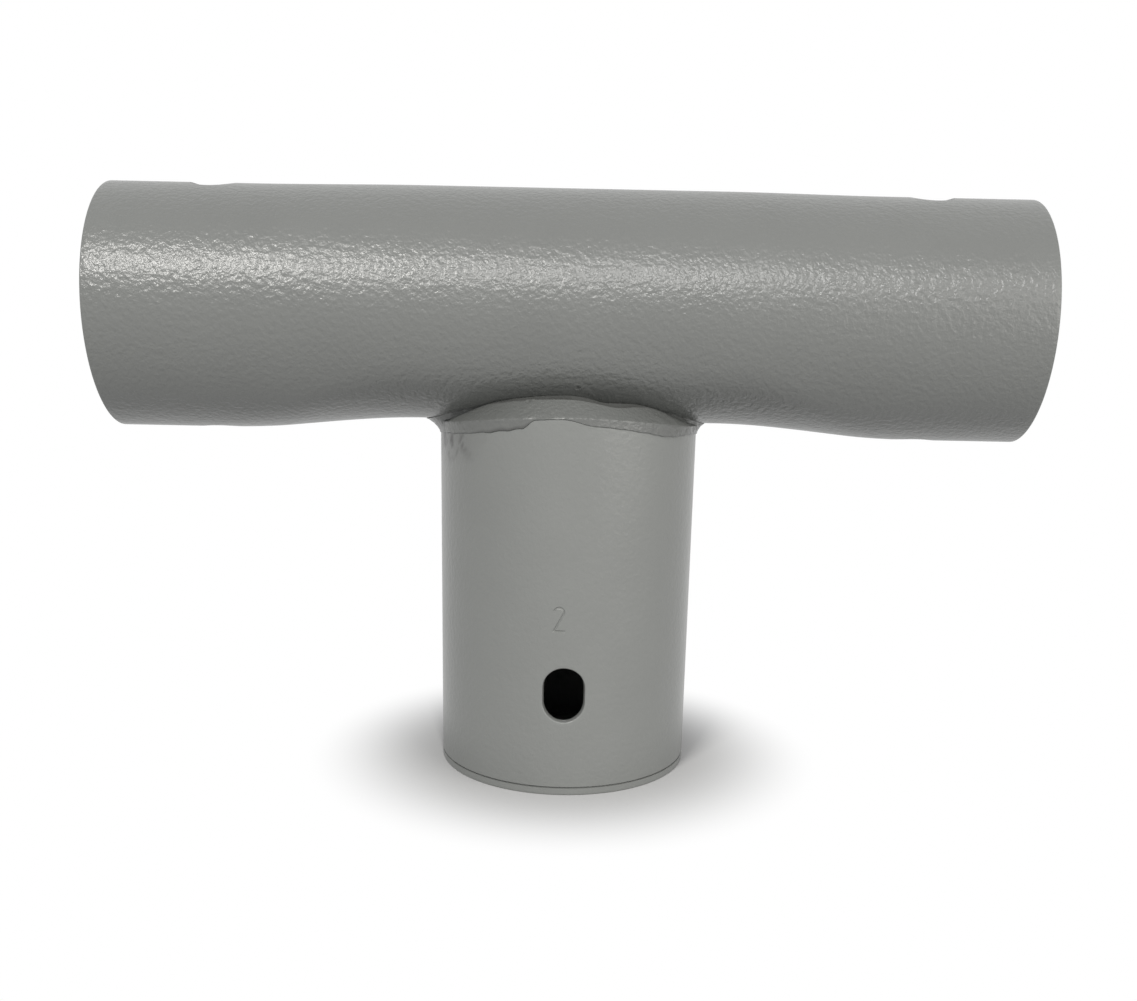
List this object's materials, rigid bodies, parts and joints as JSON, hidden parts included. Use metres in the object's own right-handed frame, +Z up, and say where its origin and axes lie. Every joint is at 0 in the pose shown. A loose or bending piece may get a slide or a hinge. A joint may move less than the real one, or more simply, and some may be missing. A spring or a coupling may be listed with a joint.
{
  "type": "welded tube tee fitting",
  "caption": "Welded steel tube tee: a run tube with a bolt slot near each end, and a wider branch socket below it with a bolt slot near its foot, powder coated grey.",
  "frame": {"origin": "centre of the branch tube's foot, on the plane that the tee stands on", "axes": "+Z up the branch tube, X along the run tube, the branch's slots face -Y and +Y"},
  "size_m": [0.145, 0.0424, 0.0943],
  "materials": {
    "powder_coat": "satin light grey powder coat with a fine orange-peel texture"
  },
  "bodies": {
    "root": {"run_tube": "powder_coat", "branch_tube": "powder_coat", "weld_bead": "powder_coat"}
  },
  "joints": []
}
